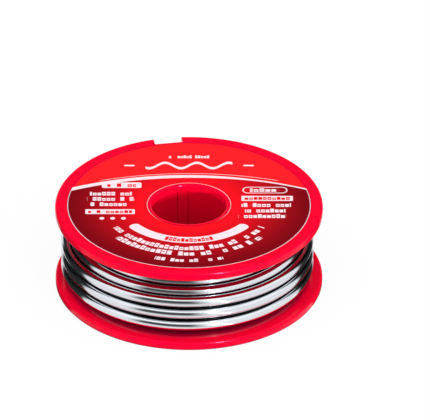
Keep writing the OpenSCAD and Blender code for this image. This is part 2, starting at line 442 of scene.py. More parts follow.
@dataclass(frozen=True)
class PrintedFilm:
    """A printed film label: a bright field over a dark one that glows round the hub, with blank marks.

    Bent marks lie round the hub on a circle of the radius bent_r, which is their height 0.
    """

    outer_r: float
    inner_r: float
    slot: str = "printed_label"
    bright: Colour = (0.94, 0.0105, 0.016, 1.0)
    glow: Colour = (0.90, 0.002, 0.011, 1.0)
    dark: Colour = (0.190, 0.0001, 0.0045, 1.0)
    white: Colour = (0.97, 0.76, 0.82, 1.0)
    pink: Colour = (0.95, 0.62, 0.70, 1.0)
    margin: Colour = (0.96, 0.0010, 0.030, 1.0)
    gloss_tint: Colour = (1.0, 0.12, 0.18, 1.0)
    margin_w: float = 0.36
    glow_span: Pair = (9.0, 23.5)
    glow_curve: float = 0.62
    bent_r: float = 16.0
    arch_r: float = 54.0
    arch_down: float = 43.9
    stroke: Pair = (0.20, 0.32)
    wave_up: float = 14.2
    wave_turn: float = 1.05
    wave_slant: float = 0.72
    white_frame: Bar = Bar(14.2, 5.2, 8.2, 2.1, 1.0)
    white_bars: tuple[Bar, ...] = (
        *(Bar(side * 11.2, 14.2, 2.0, 0.5, 0.25) for side in (-1, 1)),
        Bar(-12.6, 7.0, 7.4, 2.0, 0.45), Bar(-14.7, -2.6, 9.2, 1.7, 0.15), Bar(14.6, 2.2, 9.6, 1.8, 0.15),
        *(Bar(across, -5.0, 0.9, 0.9, 0.45) for across in (-16.2, -14.2, -12.2)),
    )
    white_blocks: tuple[Blocks, ...] = (
        Blocks(0.0, 17.4, 7.7, 1.0, 3.0, 0.55), Blocks(14.2, 5.2, 5.6, 1.2, 31.0, 1.1),
        Blocks(-14.6, 3.9, 7.8, 1.3, 11.0), Blocks(14.4, -0.2, 9.2, 1.35, 37.0),
        Blocks(-14.6, 2.0, 8.8, 1.3, 17.0), Blocks(14.2, -2.2, 7.6, 1.35, 41.0),
        Blocks(-15.0, 0.1, 6.9, 1.3, 23.0), Blocks(13.6, -4.2, 8.8, 1.35, 43.0),
    )
    bent_bar: Bar = Bar(0.0, 3.2, 31.0, 2.1, 1.0)
    bent_blocks: tuple[Blocks, ...] = (
        Blocks(0.0, 0.3, 33.0, 1.4, 53.0, 0.95), Blocks(0.0, -1.6, 27.0, 1.4, 59.0, 0.95),
        Blocks(0.0, -4.0, 10.2, 1.1, 61.0, 0.7),
    )
    red_blocks: tuple[Blocks, ...] = (
        Blocks(-12.6, 7.0, 5.4, 1.3, 71.0, 1.0), Blocks(-14.7, -2.6, 8.2, 1.05, 73.0),
        Blocks(14.6, 2.2, 8.6, 1.1, 79.0),
    )
    red_bent_blocks: Blocks = Blocks(0.0, 3.2, 11.2, 1.3, 83.0, 0.95)

    def arch_distance(self, x: Signal, y: Signal) -> Signal:
        """Height above the arch: the distance from its centre below the hub, less its radius."""
        return x.hypot(y + self.arch_down) - self.arch_r

    def fields(self, bench: Bench, x: Signal, y: Signal, radius: Signal) -> Signal:
        """The ground colours: a glow that fades outwards, and above the arch a bright field.

        Args:
            bench: the material's nodes.
            x: the point's place across.
            y: its place up.
            radius: its distance from the axis.

        Returns:
            The colour. The bright field has a deeper margin at the label's edge.
        """
        fade = radius.ease(*self.glow_span).maths("POWER", self.glow_curve)
        ground = bench.blend(fade, self.glow, self.dark)
        edge = self.outer_r - self.margin_w
        above = bench.blend(radius.ease(edge - 0.05, edge + 0.05), self.bright, self.margin)
        return bench.blend(self.arch_distance(x, y).ease(-0.04, 0.04), ground, above)

    def white_marks(self, flat: Ink, bent: Ink, radius: Signal) -> Iterator[Signal]:
        """Draws the white marks: lines at the edge and the hub, two along the arch, a wave, bars and blocks.

        Args:
            flat: draws on straight lines.
            bent: draws round the hub.
            radius: the point's distance from the axis.

        Yields:
            The masks, one after another.
        """
        x, y = flat.across, flat.up
        arch = self.arch_distance(x, y)
        yield flat.line(radius - (self.outer_r - 0.06), 0.07) * arch.ease(0.05, -0.05)
        yield flat.line(radius - (self.inner_r + 0.04), 0.05) * y.ease(-6.8, -2.5)
        yield flat.line(arch - 0.1, self.stroke[0] + x.ease(19.0, -4.0) * self.stroke[1])
        yield flat.line(arch - 1.15, 0.06) * x.size().ease(17.0, 16.0)
        wave = y - self.wave_up - (x * self.wave_turn).maths("SINE")
        yield flat.line(wave * self.wave_slant, 0.30) * x.size().ease(8.2, 8.1)
        yield from map(flat.bar, self.white_bars)
        yield flat.outline(self.white_frame, 0.22)
        yield from map(flat.blocks, self.white_blocks)
        yield bent.bar(self.bent_bar)
        yield from map(bent.blocks, self.bent_blocks)

    def red_marks(self, flat: Ink, bent: Ink) -> Iterator[Signal]:
        """The masks of the red blocks on white bars, one after another."""
        yield from map(flat.blocks, self.red_blocks)
        yield bent.blocks(self.red_bent_blocks)

    def material(self) -> bpy.types.Material:
        """Builds the material on object coordinates, seen from above."""
        material, bench = new_material("printed_film")
        at = bench.place()
        x, y, _ = bench.split(at)
        radius = x.hypot(y)
        flat = Ink(bench, x, y)
        bent = Ink(bench, x.maths("ARCTAN2", -y) * self.bent_r, self.bent_r - radius)
        white = Ink.gather(self.white_marks(flat, bent, radius))
        red = Ink.gather(self.red_marks(flat, bent))
        ground = self.fields(bench, x, y, radius)
        mottle = bench.noise(at, 1.4, 3.0)
        ripple = bench.noise(at, 0.22, 2.0)
        tired = bench.blend(mottle.ease(0.45, 0.9), self.white, self.pink)
        bench.finish({
            "Base Color": bench.blend(red, bench.blend(white, ground, tired), self.glow),
            "Roughness": 0.26 + mottle * 0.08,
            "Specular IOR Level": 0.15,
            "Specular Tint": self.gloss_tint,
            "Normal": bench.bump(ripple, 0.05, 0.08),
        })
        return material


@dataclass(frozen=True)
class PlainPaper:
    """White paper label with grey circles and blocks that stand for small print."""

    slot: str = "plain_label"
    paper: Colour = (0.86, 0.85, 0.83, 1.0)
    shade: Colour = (0.76, 0.75, 0.72, 1.0)
    ink: Colour = (0.10, 0.10, 0.11, 1.0)
    bent_r: float = 17.0
    circles: Pair = (21.6, 9.2)
    line: float = 0.18
    box: Bar = Bar(-15.0, 0.0, 8.0, 5.0, 0.3)
    box_line: float = 0.15
    flat_blocks: tuple[Blocks, ...] = (
        Blocks(15.2, 1.6, 8.0, 1.0, 5.0), Blocks(15.2, 0.0, 8.8, 1.0, 7.0),
        Blocks(15.2, -1.6, 6.8, 1.0, 9.0),
    )
    bent_blocks: tuple[Blocks, ...] = (Blocks(0.0, 1.2, 26.0, 1.0, 13.0), Blocks(0.0, -0.6, 30.0, 1.0, 15.0))

    def material(self) -> bpy.types.Material:
        """Builds the material; the print reads from below, so its left and right are swapped."""
        material, bench = new_material("plain_paper")
        at = bench.place()
        x, y, _ = bench.split(at)
        radius = x.hypot(y)
        flat = Ink(bench, -x, y)
        bent = Ink(bench, (-x).maths("ARCTAN2", -y) * self.bent_r, self.bent_r - radius)
        masks = [flat.line(radius - circle, self.line / 2) for circle in self.circles]
        masks.append(flat.outline(self.box, self.box_line))
        masks += [*map(flat.blocks, self.flat_blocks), *map(bent.blocks, self.bent_blocks)]
        fibre = bench.noise(at, 3.0, 4.0, 0.65)
        sheet = bench.blend(fibre.ease(0.35, 0.75), self.paper, self.shade)
        bench.finish({
            "Base Color": bench.blend(Ink.gather(masks) * 0.85, sheet, self.ink),
            "Roughness": 0.72 + fibre * 0.15,
            "Specular IOR Level": 0.25,
            "Normal": bench.bump(fibre, 0.2, 0.03),
        })
        return material


Finish = MouldedPlastic | DrawnSolder | AmberFlux | PrintedFilm | PlainPaper


# ---------------------------------------------------------------- meshes


@dataclass
class Shell:
    """One closed skin: points in millimetres, quads, and rings of points to cap."""

    points: np.ndarray
    quads: np.ndarray
    caps: list[np.ndarray] = field(default_factory=list)
    strand: np.ndarray | None = None


def grid_quads(rows: int, cols: int, close_rows: bool = True, flip: bool = False) -> np.ndarray:
    """Quads of a grid whose columns close on themselves.

    Args:
        rows: points down the grid.
        cols: points across it.
        close_rows: joins the last row to the first.
        flip: turns the faces round.

    Returns:
        Four point numbers a face: a point, the next column's, then those two in the next row, last first.
    """
    row = np.arange(rows if close_rows else rows - 1)[:, None]
    col = np.arange(cols)[None, :]
    below, beside = (row + 1) % rows, (col + 1) % cols
    corners = [row * cols + col, row * cols + beside, below * cols + beside, below * cols + col]
    quads = np.stack(corners, axis=-1).reshape(-1, 4)
    return quads[:, ::-1] if flip else quads


def lathe(profile: np.ndarray, cols: int) -> Shell:
    """A solid of revolution.

    Args:
        profile: (radius, height) of its points, counter-clockwise; each goes to (r cos a, r sin a, height).
        cols: how many angles a are taken round the axis.

    Returns:
        The closed shell.
    """
    angle = np.arange(cols) * TAU / cols
    radius, height = profile[:, :1], profile[:, 1:]
    rings = [radius * np.cos(angle), radius * np.sin(angle), height + 0 * angle]
    return Shell(np.stack(rings, axis=-1).reshape(-1, 3), grid_quads(len(profile), cols))


def arc(centre: Pair, radius: float, start: float, end: float, count: int) -> np.ndarray:
    """Points of a circle: centre + radius (cos a, sin a) with a from start to end, in degrees."""
    turn = np.radians(np.linspace(start, end, count))
    return np.stack([centre[0] + radius * np.cos(turn), centre[1] + radius * np.sin(turn)], axis=-1)


def turned(points: np.ndarray, angle: float) -> np.ndarray:
    """Points turned about the axis by an angle in degrees."""
    c, s = math.cos(math.radians(angle)), math.sin(math.radians(angle))
    return points @ np.array([[c, s, 0.0], [-s, c, 0.0], [0.0, 0.0, 1.0]])


def stacked(rows: list[tuple[np.ndarray, float]], angle: float) -> Shell:
    """A closed skin of outlines that all have as many points.

    Args:
        rows: each outline's points in the plane, with its height; the last one joins the first.
        angle: turns the whole about the axis, in degrees.

    Returns:
        The shell.
    """
    grid = np.stack([np.column_stack([points, np.full(len(points), z)]) for points, z in rows])
    return Shell(turned(grid.reshape(-1, 3), angle), grid_quads(*grid.shape[:2]))


def ease(x: np.ndarray) -> np.ndarray:
    """Smooth step: 3u^2 - 2u^3 with u = x held between 0 and 1."""
    u = np.clip(x, 0.0, 1.0)
    return u * u * (3 - 2 * u)


def add_object(name: str, data: bpy.types.ID) -> bpy.types.Object:
    """Adds an object with this data to the scene."""
    made = bpy.data.objects.new(name, data)
    bpy.context.scene.collection.objects.link(made)
    return made


def make_piece(name: str, shells: list[Shell], sharp: float = 30.0) -> bpy.types.Object:
    """Puts shells into one smooth mesh object at the origin.

    Args:
        name: the piece's name.
        shells: its closed skins.
        sharp: the angle in degrees past which an edge is left sharp.

    Returns:
        The object, linked to the scene.
    """
    firsts = np.cumsum([0] + [len(shell.points) for shell in shells])
    points = np.concatenate([shell.points for shell in shells]) * MM
    faces = []
    for first, shell in zip(firsts, shells):
        faces += (shell.quads + first).tolist()
        faces += [(cap + first).tolist() for cap in shell.caps]
    mesh = bpy.data.meshes.new(name)
    mesh.from_pydata(points.tolist(), [], faces)
    if all(shell.strand is not None for shell in shells):
        strand = mesh.attributes.new("strand", "FLOAT_VECTOR", "POINT")
        strand.data.foreach_set("vector", np.concatenate([shell.strand for shell in shells]).ravel())
    work = bmesh.new()
    work.from_mesh(mesh)
    bmesh.ops.remove_doubles(work, verts=work.verts, dist=1e-7)
    bmesh.ops.dissolve_degenerate(work, edges=work.edges, dist=1e-8)
    work.to_mesh(mesh)
    work.free()
    mesh.polygons.foreach_set("use_smooth", np.ones(len(mesh.polygons), dtype=bool))
    mesh.set_sharp_from_angle(angle=math.radians(sharp))
    mesh.update()
    return add_object(name, mesh)


class Workshop:
    """Makes each finish once and dresses pieces with it."""

    def __init__(self) -> None:
        """Starts with no finish made."""
        self.made: dict[Finish, bpy.types.Material] = {}

    def dress(self, piece: bpy.types.Object, finish: Finish, *nodes: str) -> bpy.types.Object:
        """Gives a piece its finish and its place on the one body.

        Args:
            piece: the finished object.
            finish: what it is made of.
            nodes: the CAD nodes that it stands for.

        Returns:
            The piece.
        """
        if finish not in self.made:
            self.made[finish] = finish.material()
        piece.data.materials.append(self.made[finish])
        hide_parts(*nodes)
        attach(piece, "root")
        log.info("%s: %d faces, for %s", piece.name, len(piece.data.polygons), ", ".join(nodes))
        return piece


# ---------------------------------------------------------------- sub-assemblies


@dataclass
class SpoolSizes:
    """Sizes that the mouldings, the labels and the winding share, in millimetres.

    An inset is how far from an edge a plain ring lies, which keeps the face beside the edge flat to the eye.
    """

    rim_r: float = 25.0
    height: float = 16.6
    flange_t: float = 1.6
    rim_edge: float = 0.4
    bore_r: float = 7.0
    bore_edge: float = 0.3
    barrel_r: float = 8.45
    barrel_top: float = 15.4
    recess_outer_r: float = 22.75
    recess_inner_r: float = 7.7
    recess_depth: float = 0.15
    notch_angle: float = 99.5
    tongues: int = 3
    joint_groove: float = 0.05
    rim_inset: float = 0.1
    foot_inset: float = 0.2
    edge_points: int = 9
    mouth_points: int = 7

    @property
    def upper_z(self) -> float:
        """Height of the upper flange's inner face."""
        return self.height - self.flange_t

    def rim(self, foot: float) -> list[Pair]:
        """Radius and height along a flange's rounded rim, upwards from its lower face at this height."""
        edge, n = self.rim_r - self.rim_edge, self.edge_points
        low = arc((edge, foot + self.rim_edge), self.rim_edge, -90, 0, n)
        high = arc((edge, foot + self.flange_t - self.rim_edge), self.rim_edge, 0, 90, n)
        return [*low.tolist(), *high.tolist()]


@dataclass
class UpperMoulding:
    """The upper flange with its rim notch, label recess and snap tongues.

    The counts are the points on the notched edge's circle, corners, sides, roots and floor.
    """

    sizes: SpoolSizes
    notch_w: float = 5.3
    notch_depth: float = 2.2
    corner: float = 0.10
    root: float = 0.25
    burr: float = 0.06
    seat_r: float = 8.5
    tongue_w: float = 1.9
    tongue_face_r: float = 7.05
    tongue_back_r: float = 7.95
    tongue_end: float = 5.0
    hook_out: float = 0.4
    hook_lead: float = 0.7
    hook_h: float = 1.2
    tongue_up: float = 0.1
    tip_edge: float = 0.15
    tongue_cols: int = 9
    under_inset: float = 0.15
    shift: float = 2.4
    shift_span: float = 7.5
    notch_turns: tuple[float, float, float] = (8.4, 6.9, 6.3)
    counts: tuple[int, int, int, int, int] = (300, 5, 6, 5, 9)

    def outline(self, radius: float, widen: float) -> np.ndarray:
        """The flange's edge at one height: a circle with a straight notch whose corners and roots are round.

        Args:
            radius: the circle's radius there.
            widen: how far the notch's rounded edge has opened there.

        Returns:
            Points counter-clockwise, with the notch about +X.
        """
        n_arc, n_corner, n_side, n_root, n_floor = self.counts
        half = self.notch_w / 2 + widen
        floor = self.sizes.rim_r - self.notch_depth - widen / 2
        cy = half + self.corner
        cx = math.sqrt((radius - self.corner) ** 2 - cy**2)
        turn = math.degrees(math.atan2(cy, cx))
        root_x = floor + self.root
        steps = np.linspace(0, 1, n_side)[:-1, None]
        inward = np.array([cx, -half]) * (1 - steps) + np.array([root_x, -half]) * steps
        outward = np.array([root_x, half]) * (1 - steps) + np.array([cx, half]) * steps
        across = np.linspace(-half + self.root, half - self.root, n_floor)[:-1]
        parts = [
            arc((0, 0), radius, turn, 360 - turn, n_arc)[:-1],
            arc((cx, -cy), self.corner, -turn, 90, n_corner)[:-1],
            inward,
            arc((root_x, -half + self.root), self.root, 270, 180, n_root)[:-1],
            np.stack([np.full_like(across, floor), across], axis=-1),
            arc((root_x, half - self.root), self.root, 180, 90, n_root)[:-1],
            outward,
            arc((cx, cy), self.corner, -90, turn, n_corner)[:-1],
        ]
        return np.concatenate(parts)

    def ring_angles(self) -> np.ndarray:
        """Angles for the inner rings.

        The circle's points are shifted away from the notch, which makes room for those of the notch's sides:
        the notch's turns are where its corners, its sides and its roots end.

        Returns:
            An angle in degrees for each point of the outline, always growing.
        """
        n_arc, n_corner, n_side, n_root, n_floor = self.counts
        turn = math.degrees(math.asin((self.notch_w / 2 + self.corner) / (self.sizes.rim_r - self.corner)))
        beta = np.linspace(turn, 360 - turn, n_arc)[:-1]
        away = np.minimum(beta, 360 - beta)
        shift = self.shift * (1 - ease((away - turn) / self.shift_span))
        starts = (turn + self.shift, *self.notch_turns[:-1])
        half = [np.linspace(*span) for span in zip(starts, self.notch_turns, (n_corner, n_side, n_root))]
        down = [360 - part[:-1] for part in half]
        up = [360 + part[::-1][:-1] for part in reversed(half)]
        floor = np.linspace(360 - self.notch_turns[-1], 360 + self.notch_turns[-1], n_floor)[:-1]
        return np.concatenate([beta + np.where(beta < 180, shift, -shift), *down, floor, *up])

    def flange(self) -> Shell:
        """The flange: a counter-clockwise profile of edge outlines and plain rings, in rows."""
        s = self.sizes
        rows = []
        for radius, z in s.rim(s.upper_z):
            depth = np.clip(self.burr - min(s.height - z, z - s.upper_z), 0.0, self.burr)
            rows.append((self.outline(radius, self.burr - math.sqrt(self.burr**2 - depth**2)), z))
        inset = self.outline(s.rim_r - s.rim_edge - s.rim_inset, self.burr)
        floor, groove = s.height - s.recess_depth, s.joint_groove
        mouth = arc((s.bore_r + s.bore_edge, s.height - s.bore_edge), s.bore_edge, 90, 180, s.mouth_points)
        rings = [
            (s.recess_outer_r, s.height), (s.recess_outer_r, floor), (s.recess_inner_r, floor),
            (s.recess_inner_r, s.height), *mouth.tolist(), (s.bore_r, s.barrel_top + groove),
            (s.bore_r + groove, s.barrel_top), (self.seat_r, s.barrel_top), (self.seat_r, s.upper_z),
            (self.seat_r + s.foot_inset, s.upper_z), (s.recess_outer_r - self.under_inset, s.upper_z),
        ]
        angles = np.radians(self.ring_angles())
        cos_sin = np.stack([np.cos(angles), np.sin(angles)], axis=-1)
        rows += [(inset, s.height), *((radius * cos_sin, z) for radius, z in rings), (inset, s.upper_z)]
        return stacked(rows, s.notch_angle)

    def tongue(self, angle: float) -> Shell:
        """A snap tongue.

        Args:
            angle: its place round the axis in degrees.

        Returns:
            The shell: its section in radius r and height, carried across its width y with x^2 = r^2 - y^2.
        """
        face, back, end = self.tongue_face_r, self.tongue_back_r, self.tongue_end
        top = self.sizes.barrel_top + self.tongue_up
        hook_r, hook_top = back + self.hook_out, end + self.hook_h
        section = np.array([
            (back, top), (face, top), (face, (top + end) / 2), (face, end + self.tip_edge),
            (face + self.tip_edge, end), (back, end), (hook_r, end + self.hook_lead), (hook_r, hook_top),
            (back, hook_top),
        ])
        across = np.linspace(-self.tongue_w / 2, self.tongue_w / 2, self.tongue_cols)
        x = np.sqrt(section[:, :1] ** 2 - across**2)
        grid = np.stack([x, across + 0 * x, section[:, 1:] + 0 * x], axis=-1)
        points = grid.transpose(1, 0, 2)
        rows, cols = points.shape[:2]
        caps = [np.arange(cols)[::-1], np.arange(cols) + (rows - 1) * cols]
        quads = grid_quads(rows, cols, close_rows=False)
        return Shell(turned(points.reshape(-1, 3), angle), quads, caps)

    def build(self, shop: Workshop) -> bpy.types.Object:
        """Builds and dresses the moulding."""
        s = self.sizes
        tongues = [self.tongue(s.notch_angle + 360 * i / s.tongues) for i in range(s.tongues)]
        piece = make_piece("upper_moulding", [self.flange(), *tongues])
        return shop.dress(piece, MouldedPlastic(), "upper_flange")


@dataclass
class LowerMoulding:
    """The lower flange with the barrel, its three tongue channels and the label recess.

    The counts are the points on the bore's arcs, on the channels' sides and on their backs.
    """

    sizes: SpoolSizes
    channel_w: float = 2.1
    channel_r: float = 8.03
    channel_end: float = 4.6
    window_r: float = 8.43
    window_top: float = 6.28
    root: float = 0.35
    root_points: int = 6
    counts: tuple[int, int, int] = (97, 5, 5)

    def bore_outline(self, back: float) -> np.ndarray:
        """The bore's edge with a channel at each tongue: circle, side, flat back, side.

        Args:
            back: distance from the axis to the channels' flat backs.

        Returns:
            Points counter-clockwise from the first channel's far side.
        """
        n_arc, n_side, n_back = self.counts
        s = self.sizes
        half = self.channel_w / 2
        mouth_x = math.sqrt(s.bore_r**2 - half**2)
        turn = math.degrees(math.atan2(half, mouth_x))
        step = 360 / s.tongues
        side = np.linspace(mouth_x, back, n_side)[:-1]
        flat = np.linspace(-half, half, n_back)[:-1]
        channel = np.concatenate([
            np.stack([side, np.full_like(side, -half)], axis=-1),
            np.stack([np.full_like(flat, back), flat], axis=-1),
            np.stack([np.linspace(back, mouth_x, n_side)[:-1], np.full(n_side - 1, half)], axis=-1),
        ])
        parts = []
        for i in range(s.tongues):
            at = math.radians(step * (i + 1))
            turn_by = np.array([[math.cos(at), math.sin(at)], [-math.sin(at), math.cos(at)]])
            wall = arc((0, 0), s.bore_r, step * i + turn, step * (i + 1) - turn, n_arc)
            parts += [wall[:-1], channel @ turn_by]
        return np.concatenate(parts)

    def build(self, shop: Workshop) -> bpy.types.Object:
        """Builds and dresses the moulding, whose profile is counter-clockwise: rings and bore outlines.

        Args:
            shop: dresses the piece.

        Returns:
            The piece.
        """
        s = self.sizes
        narrow = self.bore_outline(self.channel_r)
        wide = self.bore_outline(self.window_r)
        inset, foot_r = s.rim_r - s.rim_edge - s.rim_inset, s.barrel_r + self.root
        groove_z = s.barrel_top - s.joint_groove
        outer = [
            *s.rim(0.0), (inset, s.flange_t), (foot_r + s.foot_inset, s.flange_t),
            *arc((foot_r, s.flange_t + self.root), self.root, 270, 180, self.root_points).tolist(),
            (s.barrel_r, groove_z), (s.barrel_r - s.joint_groove, s.barrel_top),
        ]
        mouth = arc((s.bore_r + s.bore_edge, s.bore_edge), s.bore_edge, 180, 270, s.mouth_points)
        inner = [
            (s.bore_r, self.channel_end), *mouth.tolist(), (s.recess_inner_r, 0.0),
            (s.recess_inner_r, s.recess_depth), (s.recess_outer_r, s.recess_depth), (s.recess_outer_r, 0.0),
            (inset, 0.0),
        ]
        angles = np.arctan2(narrow[:, 1], narrow[:, 0])
        cos_sin = np.stack([np.cos(angles), np.sin(angles)], axis=-1)
        on_bore = np.hypot(*narrow.T) < s.bore_r + 1e-6
        rows = [(radius * cos_sin, z) for radius, z in outer]
        rows += [
            (narrow + cos_sin * s.joint_groove * on_bore[:, None], s.barrel_top), (narrow, groove_z),
            (narrow, self.window_top), (wide, self.window_top), (wide, self.channel_end),
        ]
        rows += [(radius * cos_sin, z) for radius, z in inner]
        piece = make_piece("lower_moulding", [stacked(rows, s.notch_angle)])
        return shop.dress(piece, MouldedPlastic(), "lower_flange")


class Side(Enum):
    """Which outer face of the spool a label lies on."""

    FACE = "face"
    BASE = "base"


@dataclass
class Label:
    """A round label with a hole, sunk a hair below the flange's rim, with slightly rolled cut edges."""

    sizes: SpoolSizes
    side: Side
    outer_r: float = 22.7
    inner_r: float = 7.75
    thickness: float = 0.12
    sink: float = 0.03
    roll: float = 0.04
    inset: float = 0.3
    mid_r: float = 15.0
    edge_points: int = 4
    cols: int = 256

    def build(self, shop: Workshop) -> bpy.types.Object:
        """Builds and dresses the label.

        Args:
            shop: dresses the piece.

        Returns:
            The piece.
        """
        face = self.side is Side.FACE
        low = self.sizes.height - self.sink - self.thickness if face else self.sink
        high = low + self.thickness
        out, into, n = self.outer_r - self.roll, self.inner_r + self.roll, self.edge_points
        rings = [self.outer_r - self.inset, self.mid_r, self.inner_r + self.inset]
        profile = np.concatenate([
            arc((out, low + self.roll), self.roll, -90, 0, n),
            arc((out, high - self.roll), self.roll, 0, 90, n),
            [(radius, high) for radius in rings],
            arc((into, high - self.roll), self.roll, 90, 180, n),
            arc((into, low + self.roll), self.roll, 180, 270, n),
            [(radius, low) for radius in reversed(rings)],
        ])
        name = "printed_face_label" if face else "plain_base_label"
        finish = PrintedFilm(self.outer_r, self.inner_r) if face else PlainPaper()
        piece = make_piece(name, [lathe(profile, self.cols)])
        return shop.dress(piece, finish, f"{self.side.value}_label")


@dataclass
class Winding:
    """The wound wire: three layers as one strand, nested in each other's grooves, over a ribbed inner body.

    The upper layers stop short of the upper flange, and the winding lies a little off the spool's axis. Each
    layer's steps from turn to turn lie at the back, a little before those of the layer beneath.
    """

    sizes: SpoolSizes
    wire_d: float = 2.0
    flux_d: float = 0.76
    side_gap: float = 0.01
    full_turns: int = 5
    turns: tuple[int, int, int] = (4, 4, 3)
    first_r: float = 19.5
    lean: Pair = (-0.325, 0.425)
    touch: float = 2.01
    step_angle: float = 75.0
    step_places: tuple[float, float, float] = (90.0, 75.0, 60.0)
    start_angle: float = 95.0
    end_past: float = 5.0
    soft_reach: int = 6
    soft_bell: float = 3.0
    rings: int = 180
    sides: int = 22
    pinch_l: float = 1.6
    pinch_in: float = 0.28
    pinch_out: float = 0.5
    flux_gap: float = 0.02
    flux_sides: int = 8
    flux_step: int = 3
    hole_rings: int = 4
    rib_turn: float = 78.0
    rib_points: int = 11
    rib_root: float = 0.15
    body_cols: int = 160
    sharp: float = 50.0

    @property
    def foot(self) -> float:
        """Height of the lowest turns' middle."""
        return self.sizes.flange_t + self.side_gap + self.wire_d / 2

    @property
    def pitch(self) -> float:
        """Distance between turns side by side: the span over the full layer's turns less a half."""
        span = self.sizes.upper_z - self.sizes.flange_t - 2 * self.side_gap - self.wire_d
        return span / (self.full_turns - 0.5)

    def turn_heights(self) -> np.ndarray:
        """Heights of the turns as wound: up the lowest layer, down the next and up the part-full one."""
        first, second, third = (np.arange(count) for count in self.turns)
        return self.foot + self.pitch * np.concatenate([first + 0.5, second[::-1], third + 0.5])

    def path(self) -> np.ndarray:
        """Centre line of the strand.

        A turn keeps its height and moves to the next one in a smooth step. Its radius is the least that
        keeps it a wire's width from each earlier turn at the same angle: r + sqrt(d^2 - gap^2).

        Returns:
            Points in the order of winding.
        """
        heights = self.turn_heights()
        count = len(heights)
        cells = np.arange(count + 1)[:, None] * self.rings + np.arange(self.rings)
        angle = cells * 360.0 / self.rings
        first = self.turns[0]
        places = np.repeat(self.step_places, self.turns)
        height = np.full(angle.shape, heights[0])
        for i in range(1, count):
            after = (angle - 360 * i - places[i - 1]) / self.step_angle + 0.5
            height += (heights[i] - heights[i - 1]) * ease(after)
        radius = np.full(angle.shape, self.first_r)
        for turn in range(first, count + 1):
            gap = np.abs(height[turn] - height[:turn])
            reach = radius[:turn] + np.sqrt(np.maximum(self.touch**2 - gap**2, 0.0))
            started = angle[:turn] > self.start_angle
            reach = np.where((gap < self.touch) & started, reach, self.first_r)
            radius[turn] = np.maximum(self.first_r, reach.max(axis=0))
        flat = self.softened(radius.ravel())
        keep = (angle.ravel() >= self.start_angle) & (angle.ravel() <= 360 * count + self.end_past)
        turn, flat = np.radians(angle.ravel()[keep]), flat[keep]
        points = np.stack([flat * np.cos(turn), flat * np.sin(turn), height.ravel()[keep]], axis=-1)
        return points + self.leant(turn)

    def leant(self, turn: np.ndarray) -> np.ndarray:
        """How far the winding lies off the axis: the lean, whose part towards the back dies out there."""
        back = self.lean[1] * ease(1 - np.sin(turn))
        return np.stack([np.full_like(turn, self.lean[0]), back, 0 * turn], axis=-1)

    def softened(self, values: np.ndarray) -> np.ndarray:
        """Values averaged with their neighbours, whose weight n places off is exp(-(n / soft_bell)^2)."""
        away = np.arange(-self.soft_reach, self.soft_reach + 1)
        bell = np.exp(-((away / self.soft_bell) ** 2))
        return np.convolve(np.pad(values, self.soft_reach, mode="edge"), bell / bell.sum(), mode="valid")

    def tube(self, path: np.ndarray, radius: float, sides: int, hollow: float) -> Shell:
        """A round tube along a path, pinched at its end: centre + r (cos p out + sin p up) on each ring.

        Args:
            path: the centre line.
            radius: the tube's radius.
            sides: points round it.
            hollow: radius of the hole shown at the far end, or 0 for a solid end.

        Returns:
            The closed shell, with its strand coordinates.
        """
        along = np.gradient(path, axis=0)
        length = np.concatenate([[0.0], np.cumsum(np.linalg.norm(np.diff(path, axis=0), axis=1))])
        along /= np.linalg.norm(along, axis=1, keepdims=True)
        out = np.cross(along, [0.0, 0.0, 1.0])
        out /= np.linalg.norm(out, axis=1, keepdims=True)
        up = np.cross(out, along)
        turn = np.arange(sides) * TAU / sides
        pinch = self.pinch_in * ease((length - length[-1] + self.pinch_l) / self.pinch_l)

        def ring_rows(rows: np.ndarray, size: float) -> tuple[np.ndarray, np.ndarray]:
            """Points and strand coordinates of the rings at these places on the path."""
            wide = size * np.cos(turn) * (1 + self.pinch_out * pinch[rows, None])
            tall = size * np.sin(turn) * (1 - pinch[rows, None])
            points = path[rows, None] + wide[..., None] * out[rows, None] + tall[..., None] * up[rows, None]
            around = np.broadcast_arrays(length[rows, None], np.cos(turn), np.sin(turn))
            return points.reshape(-1, 3), np.stack(around, axis=-1).reshape(-1, 3)

        blocks = [ring_rows(np.arange(len(path)), radius)]
        if hollow:
            blocks.append(ring_rows(len(path) - 1 - np.arange(self.hole_rings), hollow))
        points = np.concatenate([block[0] for block in blocks])
        strand = np.concatenate([block[1] for block in blocks])
        rows = len(points) // sides
        quads = grid_quads(rows, sides, close_rows=False, flip=True)
        caps = [np.arange(sides), (np.arange(sides) + (rows - 1) * sides)[::-1]]
        return Shell(points, quads, [cap[::-1] for cap in caps], strand)

    def inner_body(self) -> Shell:
        """The deeper layers: a ring whose outside is a row of half-round ribs, one for each turn."""
        s = self.sizes
        radius = self.first_r - math.sqrt(self.touch**2 - self.pitch**2 / 4)
        middles = [(radius, self.foot + self.pitch * i) for i in range(self.full_turns)]
        ribs = [arc(at, self.wire_d / 2, -self.rib_turn, self.rib_turn, self.rib_points) for at in middles]
        low, high = s.flange_t + self.side_gap, s.upper_z - self.side_gap
        root, inside = radius + self.rib_root, s.barrel_r + self.side_gap
        shell = lathe(np.concatenate([[(root, low)], *ribs, [(root, high), (inside, high), (inside, low)]]),
                      self.body_cols)
        angle = np.arctan2(shell.points[:, 1], shell.points[:, 0])
        outer = np.hypot(shell.points[:, 0], shell.points[:, 1]) > (inside + radius) / 2
        shell.points += outer[:, None] * self.leant(angle)
        z = shell.points[:, 2]
        shell.strand = np.stack([angle * radius, np.cos(z * 3), np.sin(z * 3)], axis=-1)
        return shell

